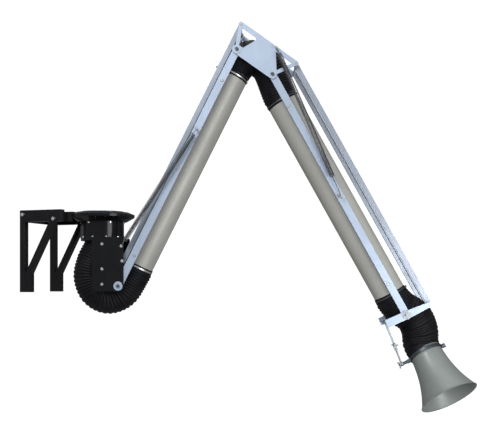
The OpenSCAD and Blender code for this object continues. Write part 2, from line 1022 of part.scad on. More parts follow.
// Flare of the hood: radius at a share of the way from the neck's end to the mouth
function flare(share) = neck_r + (mouth_radius - neck_r) * pow(share, 1.55);

flare_steps = 8;
function flare_point(i, extra) =
    [flare(i / flare_steps) + extra, -neck_end - (hood_length - neck_end) * i / flare_steps];

module hood_shell() {
    color("#8b8f8c")
    on_hood() difference() {
        union() {
            rotate_extrude($fn = 96) polygon(concat(
                [[neck_r - neck_t, collar_half + 8], [neck_r, collar_half + 8]],
                [for (i = [0:flare_steps]) flare_point(i, 0)],
                [for (i = [flare_steps:-1:0]) flare_point(i, -neck_t)]
            ));
            translate([0, 0, -hood_length]) rotate_extrude($fn = 96)
                translate([mouth_radius - 1, 0]) circle(3.5, $fn = 24);
        }
        rotate([0, 90, 0]) cylinder(h = 200, r = clamp_bolt_r + running_gap);
    }
}

module damper() {
    color("#2b2d30")
    on_hood() {
        rotate([0, 90, 0]) translate([0, 0, -60]) cylinder(h = 60 + neck_r + 18, r = clamp_bolt_r);
        rotate([62, 0, 0]) translate([0, 0, -1]) cylinder(h = 2, r = neck_r - neck_t - 4);
        translate([neck_r + 6, 0, 0]) rotate([0, 90, 0]) cylinder(h = 16, r = 11);
    }
}

wall_frame_left();
wall_frame_right();
rail_end_caps();
console();
console_bolts();
duct_flange();
bearing_housing();
thrust_ring();
slide_ring();
retaining_ring();
swivel_drum();
drum_screws();
turntable_plate();
hanger_bars();
side_plate_left();
side_plate_right();
side_plate_screws();
base_pivot_bolts();
base_pivot_washers();
base_rod_bolts();
base_hose();
lower_duct();
lower_channel_left();
lower_channel_right();
lower_spacers();
lower_hose_cuffs();
lower_hose_clamps();
lower_friction_discs();
lower_rod_left();
lower_rod_right();
lower_springs();
lower_spring_hooks();
knee_plate_left();
knee_plate_right();
knee_ties();
knee_pivot_bolts();
knee_pivot_washers();
knee_hose();
upper_duct();
upper_channel_left();
upper_channel_right();
upper_spacers();
upper_hose_cuffs();
upper_hose_clamps();
upper_friction_discs();
upper_rod_left();
upper_rod_right();
upper_springs();
upper_spring_hooks();
end_yoke();
end_pivot_bolts();
end_rod_bolts();
end_hose();
hood_link_upper();
hood_link_lower();
pitch_wing_nut();
roll_wing_nut();
hood_collar();
hood_shell();
damper();
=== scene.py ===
import json
import math

import bmesh
import bpy
from mathutils import Matrix, Vector


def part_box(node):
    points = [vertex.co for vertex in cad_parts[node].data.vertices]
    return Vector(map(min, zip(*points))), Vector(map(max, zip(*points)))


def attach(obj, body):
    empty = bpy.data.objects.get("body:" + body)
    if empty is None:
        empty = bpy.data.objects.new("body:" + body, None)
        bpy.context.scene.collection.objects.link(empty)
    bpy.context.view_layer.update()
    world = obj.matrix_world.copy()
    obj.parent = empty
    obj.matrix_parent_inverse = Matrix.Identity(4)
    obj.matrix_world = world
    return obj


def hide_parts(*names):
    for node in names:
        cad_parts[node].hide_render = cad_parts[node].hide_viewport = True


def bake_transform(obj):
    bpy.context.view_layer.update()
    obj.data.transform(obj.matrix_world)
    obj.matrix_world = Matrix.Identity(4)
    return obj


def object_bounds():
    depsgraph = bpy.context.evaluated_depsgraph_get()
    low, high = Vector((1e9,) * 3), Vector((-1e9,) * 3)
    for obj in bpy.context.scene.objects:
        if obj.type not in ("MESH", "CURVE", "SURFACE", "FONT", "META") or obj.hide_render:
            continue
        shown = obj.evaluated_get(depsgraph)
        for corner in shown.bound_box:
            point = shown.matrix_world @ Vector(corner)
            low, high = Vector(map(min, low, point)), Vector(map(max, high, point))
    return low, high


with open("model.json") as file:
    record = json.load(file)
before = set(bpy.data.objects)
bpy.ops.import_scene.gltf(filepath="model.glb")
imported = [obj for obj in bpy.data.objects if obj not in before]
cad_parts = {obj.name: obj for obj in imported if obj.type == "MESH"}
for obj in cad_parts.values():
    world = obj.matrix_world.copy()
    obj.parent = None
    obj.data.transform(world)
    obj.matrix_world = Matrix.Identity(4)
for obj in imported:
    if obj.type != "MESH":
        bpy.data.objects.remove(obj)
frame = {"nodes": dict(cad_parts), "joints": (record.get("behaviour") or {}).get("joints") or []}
cad_low, cad_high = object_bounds()
MM = 0.001

# ---------------------------------------------------------------- the arm's own axes, from the frame

joints = {joint["name"]: joint for joint in frame["joints"]}


def pivot(name):
    return Vector(joints[name]["pos_m"])


ACROSS = -Vector(joints["lift"]["axis"]).normalized()   # from the right-hand side to the left
UP = Vector((0, 0, 1))
OUT = ACROSS.cross(UP)                                   # level, away from the swivel
SWIVEL = pivot("swing")
LIFT, KNEE, ELBOW, YOKE = pivot("lift"), pivot("knee_turn"), pivot("elbow"), pivot("yoke_turn")


def at(out, up):
    """A point in the arm's middle plane, millimetres out from the swivel axis and up from the origin."""
    return Vector((SWIVEL.x, SWIVEL.y, 0)) + OUT * out * MM + UP * up * MM


def flat(point):
    """The millimetres out and up that at() needs to reach a point of the frame."""
    offset = point - Vector((SWIVEL.x, SWIVEL.y, 0))
    return offset.dot(OUT) / MM, offset.dot(UP) / MM


def duct_ends(node, direction):
    """Centres of a straight tube's two ends, from its own vertices."""
    points = [v.co.copy() for v in frame["nodes"][node].data.vertices]
    reach = [p.dot(direction) for p in points]
    ends = []
    for limit in (min(reach), max(reach)):
        ring = [p for p, r in zip(points, reach) if abs(r - limit) < 1 * MM]
        low = Vector(map(min, *ring))
        high = Vector(map(max, *ring))
        ends.append((low + high) / 2)
    return ends


LOWER_DIR = (KNEE - LIFT).normalized()
UPPER_DIR = (YOKE - ELBOW).normalized()
LOWER_DUCT = duct_ends("lower_duct", LOWER_DIR)
UPPER_DUCT = duct_ends("upper_duct", UPPER_DIR)

# ---------------------------------------------------------------- materials


NOISE_ROUGHNESS = 0.55
EDGE_FLAT, EDGE_ROUND = 0.995, 0.8       # how far a rounded normal agrees with the flat one


class Nodes:
    """A material's node tree, with one method per kind of node that the finishes share."""

    def __init__(self, name):
        self.material = bpy.data.materials.new(name)
        self.material.use_nodes = True
        self.tree = self.material.node_tree
        self.shader = self.tree.nodes["Principled BSDF"]
        self.place = self.tree.nodes.new("ShaderNodeTexCoord").outputs["Object"]

    def link(self, a, b):
        self.tree.links.new(a, b)

    def scaled(self, x, y, z):
        node = self.tree.nodes.new("ShaderNodeMapping")
        node.inputs["Scale"].default_value = (x, y, z)
        self.link(self.place, node.inputs["Vector"])
        return node.outputs["Vector"]

    def noise(self, scale, detail, vector=None):
        node = self.tree.nodes.new("ShaderNodeTexNoise")
        node.inputs["Scale"].default_value = scale
        node.inputs["Detail"].default_value = detail
        node.inputs["Roughness"].default_value = NOISE_ROUGHNESS
        self.link(vector or self.place, node.inputs["Vector"])
        return node.outputs["Fac"]

    def cells(self, scale):
        node = self.tree.nodes.new("ShaderNodeTexVoronoi")
        node.inputs["Scale"].default_value = scale
        self.link(self.place, node.inputs["Vector"])
        return node.outputs["Distance"]

    def spread(self, value, low, high, out_low=0.0, out_high=1.0):
        node = self.tree.nodes.new("ShaderNodeMapRange")
        keys = ("From Min", "From Max", "To Min", "To Max")
        for key, number in zip(keys, (low, high, out_low, out_high)):
            node.inputs[key].default_value = number
        self.link(value, node.inputs["Value"])
        return node.outputs["Result"]

    def math(self, operation, a, b):
        node = self.tree.nodes.new("ShaderNodeMath")
        node.operation = operation
        for socket, value in zip(node.inputs, (a, b)):
            if isinstance(value, (int, float)):
                socket.default_value = value
            else:
                self.link(value, socket)
        return node.outputs["Value"]

    def mix(self, factor, a, b):
        node = self.tree.nodes.new("ShaderNodeMix")
        node.data_type = "RGBA"
        self.link(factor, node.inputs["Factor"])
        for key, value in (("A", a), ("B", b)):
            socket = [s for s in node.inputs if s.name == key and s.type == "RGBA"][0]
            if isinstance(value, tuple):
                socket.default_value = (*value, 1)
            else:
                self.link(value, socket)
        return [s for s in node.outputs if s.type == "RGBA"][0]

    def edges(self, radius):
        """The rounded normal, and how far it leans away from the flat one: high on edges only."""
        bevel = self.tree.nodes.new("ShaderNodeBevel")
        bevel.inputs["Radius"].default_value = radius
        geometry = self.tree.nodes.new("ShaderNodeNewGeometry")
        dot = self.tree.nodes.new("ShaderNodeVectorMath")
        dot.operation = "DOT_PRODUCT"
        self.link(bevel.outputs["Normal"], dot.inputs[0])
        self.link(geometry.outputs["Normal"], dot.inputs[1])
        return bevel.outputs["Normal"], self.spread(dot.outputs["Value"], EDGE_FLAT, EDGE_ROUND)

    def bump(self, height, distance, strength, normal=None):
        node = self.tree.nodes.new("ShaderNodeBump")
        node.inputs["Distance"].default_value = distance
        node.inputs["Strength"].default_value = strength
        self.link(height, node.inputs["Height"])
        if normal is not None:
            self.link(normal, node.inputs["Normal"])
        self.link(node.outputs["Normal"], self.shader.inputs["Normal"])

    def finish(self, colour, roughness, metallic=0.0, coat=0.0, specular=0.5, coat_rough=0.12):
        for key, value in (("Base Color", colour), ("Roughness", roughness), ("Metallic", metallic)):
            if isinstance(value, tuple):
                self.shader.inputs[key].default_value = (*value, 1)
            elif isinstance(value, (int, float)):
                self.shader.inputs[key].default_value = value
            else:
                self.link(value, self.shader.inputs[key])
        self.shader.inputs["Coat Weight"].default_value = coat
        self.shader.inputs["Coat Roughness"].default_value = coat_rough
        self.shader.inputs["Specular IOR Level"].default_value = specular
        return self.material


def black_paint(name, gloss):
    """Powder coat: fine orange peel, a little dust on the broad faces and paler rubbed edges."""
    n = Nodes(name)
    normal, edge = n.edges(1.2 * MM)
    dust = n.spread(n.noise(9, 6), 0.42, 0.72)
    worn = n.math("MULTIPLY", edge, n.spread(n.noise(60, 5), 0.4, 0.62))
    base = n.mix(dust, (0.003, 0.0032, 0.0044), (0.0065, 0.007, 0.0092))
    colour = n.mix(worn, base, (0.022, 0.024, 0.027))
    rough = n.spread(n.noise(14, 5), 0.3, 0.7, gloss, gloss + 0.14)
    n.bump(n.noise(900, 2), 0.15 * MM, 0.25, normal)
    return n.finish(colour, rough, coat=0.34, specular=0.1, coat_rough=0.1)


def shade(tone, factor):
    """A colour made darker or lighter by a factor, capped at white."""
    return tuple(min(1, c * factor) for c in tone)


ROLLING = (1, 1, 0.06)                   # stretches the grain along the sheet


def sheet_metal(name, tone, rough):
    """Bright sheet: faint rolled grain along one direction, soft patches and paler cut edges."""
    n = Nodes(name)
    normal, edge = n.edges(0.9 * MM)
    patches = n.spread(n.noise(7, 5), 0.32, 0.7)
    grain = n.noise(260, 3, n.scaled(*ROLLING))
    colour = n.mix(patches, shade(tone, 0.84), tone)
    colour = n.mix(n.math("MULTIPLY", edge, 0.6), colour, shade(tone, 1.15))
    spots = n.spread(n.noise(120, 6), 0.62, 0.75)
    colour = n.mix(n.math("MULTIPLY", spots, 0.25), colour, shade(tone, 0.6))
    shine = n.math("ADD", n.spread(grain, 0.3, 0.7, rough - 0.06, rough + 0.08),
                   n.spread(patches, 0, 1, 0.06, 0.0))
    n.bump(grain, 0.04 * MM, 0.3, normal)
    return n.finish(colour, shine, metallic=0.55)


def duct_paint(name, tone):
    """Semi-matt paint on rolled tube: slow tone changes, fine peel and faint scuffs."""
    n = Nodes(name)
    tone_shift = n.spread(n.noise(5, 4), 0.35, 0.68)
    colour = n.mix(tone_shift, shade(tone, 0.93), tone)
    scuffs = n.math("MULTIPLY", n.spread(n.noise(46, 7), 0.6, 0.74), 0.22)
    colour = n.mix(scuffs, colour, shade(tone, 0.66))
    rough = n.spread(n.noise(20, 5), 0.3, 0.7, 0.36, 0.5)
    n.bump(n.noise(700, 2), 0.12 * MM, 0.3)
    return n.finish(colour, rough, coat=0.12)


def rubber(name, tone, rough):
    """Coated hose fabric: finely pebbled face, dull sheen and dust in patches."""
    n = Nodes(name)
    dust = n.spread(n.noise(18, 6), 0.4, 0.75)
    colour = n.mix(dust, tone, tuple(c * 1.7 + 0.004 for c in tone))
    shine = n.spread(n.noise(30, 4), 0.3, 0.7, rough - 0.08, rough + 0.1)
    n.bump(n.cells(900), 0.25 * MM, 0.4)
    return n.finish(colour, shine, specular=0.16)


def plain_plastic(name, tone, rough):
    """Moulded plastic with a fine spark-eroded texture."""
    n = Nodes(name)
    normal, _ = n.edges(0.8 * MM)
    colour = n.mix(n.spread(n.noise(25, 4), 0.3, 0.7), tone, shade(tone, 1.25))
    n.bump(n.noise(1500, 2), 0.1 * MM, 0.4, normal)
    return n.finish(colour, n.spread(n.noise(40, 3), 0.3, 0.7, rough - 0.05, rough + 0.08))


def zinc(name, tone, rough):
    """Plated fasteners: slightly mottled, with softly rounded edges."""
    n = Nodes(name)
    normal, _ = n.edges(0.7 * MM)
    mottle = n.spread(n.noise(160, 4), 0.35, 0.7)
    colour = n.mix(mottle, shade(tone, 0.75), tone)
    n.bump(n.noise(600, 3), 0.06 * MM, 0.3, normal)
    return n.finish(colour, n.spread(mottle, 0, 1, rough + 0.1, rough - 0.05), metallic=0.9)


def spun_hood(name, tone):
    """Spun and painted aluminium: slow tone changes and scuffs in a satin grey finish."""
    n = Nodes(name)
    tone_shift = n.spread(n.noise(8, 5), 0.35, 0.7)
    colour = n.mix(tone_shift, shade(tone, 0.9), tone)
    scuffs = n.math("MULTIPLY", n.spread(n.noise(60, 7), 0.6, 0.72), 0.3)
    colour = n.mix(scuffs, colour, shade(tone, 0.6))
    n.bump(n.noise(500, 3), 0.1 * MM, 0.3)
    return n.finish(colour, n.spread(n.noise(24, 4), 0.3, 0.7, 0.38, 0.52), metallic=0.12, coat=0.1)


BLACK = black_paint("black_paint", 0.2)
BLACK_SATIN = black_paint("black_paint_satin", 0.3)
GALVANISED = sheet_metal("galvanised", (0.44, 0.525, 0.66), 0.4)
ROD_METAL = sheet_metal("rod_metal", (0.36, 0.41, 0.49), 0.36)
DUCT = duct_paint("duct_paint", (0.35, 0.352, 0.325))
HOSE = rubber("hose_rubber", (0.003, 0.0032, 0.0048), 0.5)
ZINC = zinc("zinc", (0.72, 0.74, 0.75), 0.26)
BOLT_DARK = zinc("bolt_dark", (0.12, 0.13, 0.15), 0.35)
SPRING = zinc("spring_steel", (0.16, 0.165, 0.18), 0.34)
LINK_STEEL = zinc("link_steel", (0.30, 0.33, 0.36), 0.36)
COLLAR_STEEL = zinc("collar_steel", (0.09, 0.11, 0.125), 0.42)
HOOD = spun_hood("hood_metal", (0.20, 0.222, 0.215))
ACETAL = plain_plastic("acetal", (0.62, 0.6, 0.54), 0.4)
FRICTION = plain_plastic("friction", (0.05, 0.035, 0.025), 0.75)
KNOB = plain_plastic("knob_plastic", (0.009, 0.009, 0.011), 0.4)

CAD_FINISH = (
    (BLACK, ("console", "bearing_housing", "swivel_drum", "turntable_plate", "hanger_bars",
             "side_plate_left", "side_plate_right")),
    (BLACK_SATIN, ("wall_frame_left", "wall_frame_right")),
    (GALVANISED, ("lower_channel_left", "lower_channel_right", "upper_channel_left",
                  "upper_channel_right", "knee_plate_left", "knee_plate_right", "end_yoke",
                  "duct_flange", "knee_pivot_washers", "base_pivot_washers")),
    (ROD_METAL, ("lower_rod_left", "lower_rod_right", "upper_rod_left", "upper_rod_right")),
    (DUCT, ("lower_duct", "upper_duct")),
    (ZINC, ("console_bolts", "drum_screws", "side_plate_screws", "base_rod_bolts", "lower_spacers",
            "upper_spacers", "knee_ties", "end_rod_bolts", "retaining_ring", "lower_hose_clamps",
            "upper_hose_clamps")),
    (BOLT_DARK, ("base_pivot_bolts", "knee_pivot_bolts", "damper", "lower_spring_hooks",
                 "upper_spring_hooks", "lower_springs", "upper_springs")),
    (LINK_STEEL, ("end_pivot_bolts", "hood_link_upper", "hood_link_lower", "pitch_wing_nut",
                  "roll_wing_nut")),
    (COLLAR_STEEL, ("hood_collar",)),
    (ACETAL, ("thrust_ring", "slide_ring")),
    (FRICTION, ("lower_friction_discs", "upper_friction_discs")),
    (KNOB, ("rail_end_caps",)),
    (HOOD, ("hood_shell",)),
    (HOSE, ("base_hose", "knee_hose", "end_hose", "lower_hose_cuffs", "upper_hose_cuffs")),
)
for material, names in CAD_FINISH:
    for name in names:
        mesh = frame["nodes"][name].data
        mesh.materials.clear()
        mesh.materials.append(material)

# ---------------------------------------------------------------- mesh tools


def new_piece(name, bm, material):
    """Turns a finished bmesh into a smooth-shaded object of the scene."""
    mesh = bpy.data.meshes.new(name)
    bmesh.ops.recalc_face_normals(bm, faces=bm.faces)
    bm.to_mesh(mesh)
    bm.free()
    for face in mesh.polygons:
        face.use_smooth = True
    piece = bpy.data.objects.new(name, mesh)
    bpy.context.scene.collection.objects.link(piece)
    mesh.materials.append(material)
    return piece


CURVE_STEPS = 40                         # points worked out on each stretch of a curve


def spline(points, count):
    """Evenly spaced points on a smooth curve through the given ones, and the curve's length."""
    padded = [points[0] * 2 - points[1]] + list(points) + [points[-1] * 2 - points[-2]]
    fine = []
    for i in range(1, len(padded) - 2):
        a, b, c, d = padded[i - 1:i + 3]
        for k in range(CURVE_STEPS):
            t = k / CURVE_STEPS
            fine.append(0.5 * ((b * 2) + (c - a) * t + (a * 2 - b * 5 + c * 4 - d) * t * t
                               + (b * 3 - a - c * 3 + d) * t ** 3))
    fine.append(padded[-2])
    length = [0.0]
    for p, q in zip(fine, fine[1:]):
        length.append(length[-1] + (q - p).length)
    out, k = [], 0
    for i in range(count):
        goal = length[-1] * i / (count - 1)
        while k < len(length) - 2 and length[k + 1] < goal:
            k += 1
        share = (goal - length[k]) / max(length[k + 1] - length[k], 1e-9)
        out.append(fine[k].lerp(fine[k + 1], share))
    return out, length[-1]


def bridge(bm, first, second):
    """Joins two rings of the same count with faces."""
    for k in range(len(first)):
        n = (k + 1) % len(first)
        bm.faces.new((first[k], first[n], second[n], second[k]))


def circle(bm, centre, u, v, radius, count):
    """Ring of vertices round a centre, in the plane of the directions u and v."""
    ring = []
    for k in range(count):
        a = 2 * math.pi * k / count
        ring.append(bm.verts.new(centre + (u * math.cos(a) + v * math.sin(a)) * radius))
    return ring


RING_COUNT = 96


def loft(bm, centres, radii, normals):
    """Rings of the given radii round a line, square to its directions; returns the rings."""
    rings = []
    for centre, radius, along in zip(centres, radii, normals):
        side = along.cross(ACROSS).normalized()
        rings.append(circle(bm, centre, side, side.cross(along), radius, RING_COUNT))
    for first, second in zip(rings, rings[1:]):
        bridge(bm, first, second)
    return rings


def directions(points):
    """Unit direction of the line at each of its points."""
    out = []
    for i in range(len(points)):
        a = points[max(i - 1, 0)]
        b = points[min(i + 1, len(points) - 1)]
        out.append((b - a).normalized())
    return out


RIB_PITCH = 13 * MM
RIB_STEPS = 8
RIB_DEPTH = 5.4 * MM
RIB_FULLNESS = 0.7                       # under 1 makes the ribs round and the valleys narrow
SWELL_FULLNESS = 0.8
HOSE_WALL = 1.6 * MM
CUFF_HEIGHT = 0.3                        # how far up the ribs' height the plain cuffs sit


def ribbed_hose(names, points, radius, cuff_in, cuff_out, cuts, swell=0.0):
    """Ribbed hose along a smooth line, cut in valleys at the given shares of its length.

    Neighbouring pieces share the ring they were cut at. The swell widens the hose towards its middle.
    Returns (piece, start, end) for each piece, where start and end are (centre, direction).
    """
    _, length = spline(points, 2)
    ribbed = length - cuff_in - cuff_out
    ribs = max(3, round(ribbed / RIB_PITCH))
    count = int(length / (ribbed / ribs / RIB_STEPS)) + 1
    centres, _ = spline(points, count)
    along = directions(centres)
    radii = []
    for i in range(count):
        share = i / (count - 1)
        rib = (length * share - cuff_in) / ribbed * ribs
        height = abs(math.sin(math.pi * rib)) ** RIB_FULLNESS if 0 < rib < ribs else CUFF_HEIGHT
        wider = swell * math.sin(math.pi * share) ** SWELL_FULLNESS
        radii.append(radius + wider - RIB_DEPTH * (1 - height))
    marks = [0]
    for cut in cuts:
        valley = round((length * cut - cuff_in) / ribbed * ribs)
        marks.append(round((cuff_in + valley * ribbed / ribs) / length * (count - 1)))
    marks.append(count - 1)
    out = []
    for name, first, last in zip(names, marks, marks[1:]):
        rows = slice(first, last + 1)
        bm = bmesh.new()
        outer = loft(bm, centres[rows], radii[rows], along[rows])
        inner = loft(bm, centres[rows], [r - HOSE_WALL for r in radii[rows]], along[rows])
        bridge(bm, outer[0], inner[0])
        bridge(bm, outer[-1], inner[-1])
        piece = new_piece(name, bm, HOSE)
        out.append((piece, (centres[first], along[first]), (centres[last], along[last])))
    return out


BAND_HALF, BAND_T, BAND_LIP = 3.8 * MM, 0.8 * MM, 1.1 * MM
HOUSING = (17 * MM, 11.5 * MM, 6.5 * MM)              # round the band, along the tube, outwards
HOUSING_BEVEL = 1.6 * MM
HOUSING_LIFT = 4.2 * MM                               # its middle above the band's seat
SCREW_LENGTH = 27 * MM


def clamp_band(name, centre, axis, radius, body, angle, material):
    """Worm-drive clamp: a band with raised edges and, at an angle round it, its housing and screw."""
    bm = bmesh.new()
    lip_at, flat_at = BAND_HALF - 0.6 * MM, BAND_HALF - 1.6 * MM
    profile = [(-BAND_HALF, 0.0), (-lip_at, BAND_LIP), (-flat_at, BAND_T),
               (flat_at, BAND_T), (lip_at, BAND_LIP), (BAND_HALF, 0.0)]
    centres = [centre + axis * along for along, _ in profile]
    rings = loft(bm, centres, [radius + rise for _, rise in profile], [axis] * len(profile))
    inside = loft(bm, [centres[-1], centres[0]], [radius - 0.4 * MM] * 2, [axis] * 2)
    bridge(bm, rings[-1], inside[0])
    bridge(bm, inside[1], rings[0])
    side = axis.cross(ACROSS).normalized()
    out = side * math.cos(angle) + ACROSS * math.sin(angle)
    seat = centre + out * (radius + HOUSING_LIFT)
    turn = Matrix((axis.cross(out), axis, out)).transposed().to_4x4()
    block = bmesh.ops.create_cube(bm, size=1.0)["verts"]
    size = Matrix.Diagonal((*HOUSING, 1))
    bmesh.ops.transform(bm, matrix=Matrix.Translation(seat) @ turn @ size, verts=block)
    edges = {e for v in block for e in v.link_edges}
    bmesh.ops.bevel(bm, geom=list(edges), offset=HOUSING_BEVEL, segments=3, affect="EDGES")
    screw = bmesh.ops.create_cone(bm, cap_ends=True, segments=24, radius1=3.4 * MM, radius2=3.0 * MM,
                                  depth=SCREW_LENGTH)["verts"]
    lay_down = Matrix.Rotation(math.pi / 2, 4, "Y")
    place = Matrix.Translation(seat + out * 0.4 * MM) @ turn @ lay_down
    bmesh.ops.transform(bm, matrix=place, verts=screw)
    piece = new_piece(name, bm, material)
    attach(piece, body)
    return piece


LATHE_STEPS = 128


def lathe(bm, profile, centre, axis, side):
    """Turns (radius, height) pairs round an axis; the profile is a closed loop."""
    across = axis.cross(side).normalized()
    rings = []
    for k in range(LATHE_STEPS):
        a = 2 * math.pi * k / LATHE_STEPS
        out = side * math.cos(a) + across * math.sin(a)
        rings.append([bm.verts.new(centre + axis * h + out * r) for r, h in profile])
    for first, second in zip(rings, rings[1:] + rings[:1]):
        bridge(bm, first, second)


# ---------------------------------------------------------------- base hose

SPIGOT_LOW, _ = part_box("turntable_plate")
CUFF = 26 * MM
HOSE_R = 87 * MM
BASE_LOOP = ((-8, -182), (-42, -250), (-57, -325), (-30, -394), (30, -424), (98, -397))   # out, up
BASE_CUT = 0.68


def on_lower_duct(end, beyond):
    """Point on the lower duct's axis, a length beyond one of its ends."""
    return LOWER_DUCT[end] + LOWER_DIR * (beyond if end else -beyond)


def on_upper_duct(end, beyond):
    """The same on the upper duct's axis."""
    return UPPER_DUCT[end] + UPPER_DIR * (beyond if end else -beyond)


def base_hose():
    """Hangs from the spigot, swings back and under the lift pivot and up into the lower duct."""
    points = [at(0, SPIGOT_LOW.z / MM + 30)]
    points += [at(out, up) for out, up in BASE_LOOP]
    points += [on_lower_duct(0, 34 * MM), on_lower_duct(0, -CUFF)]
    names = ["base_hose_swivel", "base_hose_arm"]
    fixed, moving = ribbed_hose(names, points, HOSE_R, 20 * MM, CUFF, (BASE_CUT,))
    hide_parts("base_hose")
    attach(fixed[0], "swivel")
    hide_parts("lower_hose_cuffs")
    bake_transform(moving[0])


base_hose()

# ---------------------------------------------------------------- knee hose


KNEE_R = 85 * MM
KNEE_ARCH = ((24, -36), (78, -12), (150, -56))       # out and up from the knee pivot


def knee_hose():
    """Turns the air over the knee, between the two plates."""
    out, up = flat(KNEE)
    points = [on_lower_duct(1, -CUFF), on_lower_duct(1, 14 * MM)]
    points += [at(out + ahead, up + rise) for ahead, rise in KNEE_ARCH]
    points += [on_upper_duct(0, 16 * MM), on_upper_duct(0, -CUFF)]
    names = ["knee_hose_lower", "knee_hose_upper"]
    first, second = ribbed_hose(names, points, KNEE_R, CUFF, CUFF, (0.5,))
    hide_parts("knee_hose")
    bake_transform(first[0])
    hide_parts("upper_hose_cuffs")
    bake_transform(second[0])


knee_hose()

# ---------------------------------------------------------------- end hose, in four stretches

collar = pivot("damper_turn")
stud_axis = Vector(joints["damper_turn"]["axis"]).normalized()


def hood_axis():
    """The hood's own axis: across the stud, through the middle of the mouth."""
    points = [v.co for v in frame["nodes"]["hood_shell"].data.vertices]
    axis = sum(points, Vector()) / len(points) - collar
    axis -= stud_axis * axis.dot(stud_axis)
    return axis.normalized()


HOOD_AXIS = hood_axis()
END_R, END_SWELL = 85.5 * MM, 7 * MM
END_BEND = ((-7, 29, 0), (54, -13, 0), (87, -80, 14))    # out, up and across from the yoke pivot
END_CUTS = (0.40, 0.55, 0.70)
NECK_CUFF = 14 * MM
NECK_RUN = (60 * MM, 4 * MM)             # straight stretch down to the hood's collar


def end_hose():
    """Swings out past the yoke and down over the hood's neck, in four stretches."""
    out, up = flat(YOKE)
    points = [on_upper_duct(1, -CUFF), on_upper_duct(1, 8 * MM)]
    points += [at(out + ahead, up + rise) + ACROSS * aside * MM for ahead, rise, aside in END_BEND]
    points += [collar - HOOD_AXIS * before for before in NECK_RUN]
    names = [f"end_hose_{i}" for i in range(1, 5)]
    bodies = ["upper_arm", "yoke", "link_upper", "link_lower", "hood"]
    stretches = ribbed_hose(names, points, END_R, CUFF, NECK_CUFF, END_CUTS, END_SWELL)
    for (piece, start, end), first, second in zip(stretches, bodies, bodies[1:]):
        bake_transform(piece)
    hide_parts("end_hose")


end_hose()

# ---------------------------------------------------------------- hose clamps


CLAMP_INSET = 15 * MM                    # from the duct's end
CLAMP_ANGLES = (130, -20)                # of the housings, at the duct's near and far end


def hose_clamps():
    """A worm-drive clamp on each cuff of the rigid ducts."""
    seat = HOSE_R - RIB_DEPTH * (1 - CUFF_HEIGHT)
    for ducts, way, body, names, node, material in (
            (LOWER_DUCT, LOWER_DIR, "lower_arm",
             ("lower_clamp_base", "lower_clamp_knee"), "lower_hose_clamps", ZINC),
            (UPPER_DUCT, UPPER_DIR, "upper_arm",
             ("upper_clamp_knee", "upper_clamp_end"), "upper_hose_clamps", BOLT_DARK)):
        for name, end, inward, angle in zip(names, ducts, (way, -way), CLAMP_ANGLES):
            centre = end + inward * CLAMP_INSET
            clamp_band(name, centre, way, seat, body, math.radians(angle), material)
        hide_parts(node)


hose_clamps()

# ---------------------------------------------------------------- springs


SPRING_LAYER = 134 * MM                  # distance of the springs from the arm's middle
SPRING_R, SPRING_WIRE, SPRING_PITCH = 11.2 * MM, 1.6 * MM, 5.2 * MM
SPRING_EYE, SPRING_LEAD = 6.2 * MM, 26 * MM
WIRE_SIDES, EYE_STEPS, TURN_STEPS, SHANK_STEPS = 6, 13, 12, 8
EYE_GAP = 0.15                           # share of the loop left open
FIRST_TURNS, FIRST_R = 1.5, 0.25         # the coil widens over these turns from this share of its radius
HOOK_START = 0.7                         # where the shank leaves its loop, as a share of the lead
HOOK_REACH = 140 * MM                    # of the shank inside the coil


def wire_piece(name, path, radius, body):
    """Round wire bent along a path, with closed ends."""
    bm = bmesh.new()
    rings = []
    up = ACROSS
    for centre, way in zip(path, directions(path)):
        u = up - way * up.dot(way)
        if u.length < 1e-4:
            u = way.orthogonal()
        u.normalize()
        up = u
        rings.append(circle(bm, centre, u, way.cross(u), radius, WIRE_SIDES))
    for first, second in zip(rings, rings[1:]):
        bridge(bm, first, second)
    bm.faces.new(rings[0])
    bm.faces.new(rings[-1])
    piece = new_piece(name, bm, SPRING)
    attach(piece, body)
    return piece


def eye_loop(centre, along, sideways, radius):
    """Open loop round a stud, ending on the side the wire leaves from."""
    path = []
    for k in range(EYE_STEPS + 1):
        a = math.pi * EYE_GAP + 2 * math.pi * (1 - EYE_GAP) * k / EYE_STEPS
        path.append(centre + along * radius * math.cos(a) + sideways * radius * math.sin(a))
    return path


def coil(name, base, along, length, body):
    """Close-wound tension spring with a loop on its own stud and an open far end."""
    sideways = along.cross(ACROSS).normalized()
    turns = int(length / SPRING_PITCH)
    path = eye_loop(base, along, sideways, SPRING_EYE)
    for k in range(turns * TURN_STEPS + 1):
        share = k / (turns * TURN_STEPS)
        a = 2 * math.pi * k / TURN_STEPS
        ease = min(1.0, share * turns / FIRST_TURNS)
        r = SPRING_R * (FIRST_R + (1 - FIRST_R) * ease)
        path.append(base + along * (SPRING_LEAD + length * share)
                    + (sideways * math.cos(a) + ACROSS * math.sin(a)) * r)
    return wire_piece(name, path, SPRING_WIRE, body)


def draw_hook(name, tip, along, length, body):
    """Loop on the far stud with a straight shank that runs back inside the coil."""
    sideways = along.cross(ACROSS).normalized()
    path = eye_loop(tip, -along, sideways, SPRING_EYE)
    lead = SPRING_LEAD * HOOK_START
    for k in range(SHANK_STEPS + 1):
        path.append(tip - along * (lead + (length - lead) * k / SHANK_STEPS))
    return wire_piece(name, path, SPRING_WIRE * 1.1, body)


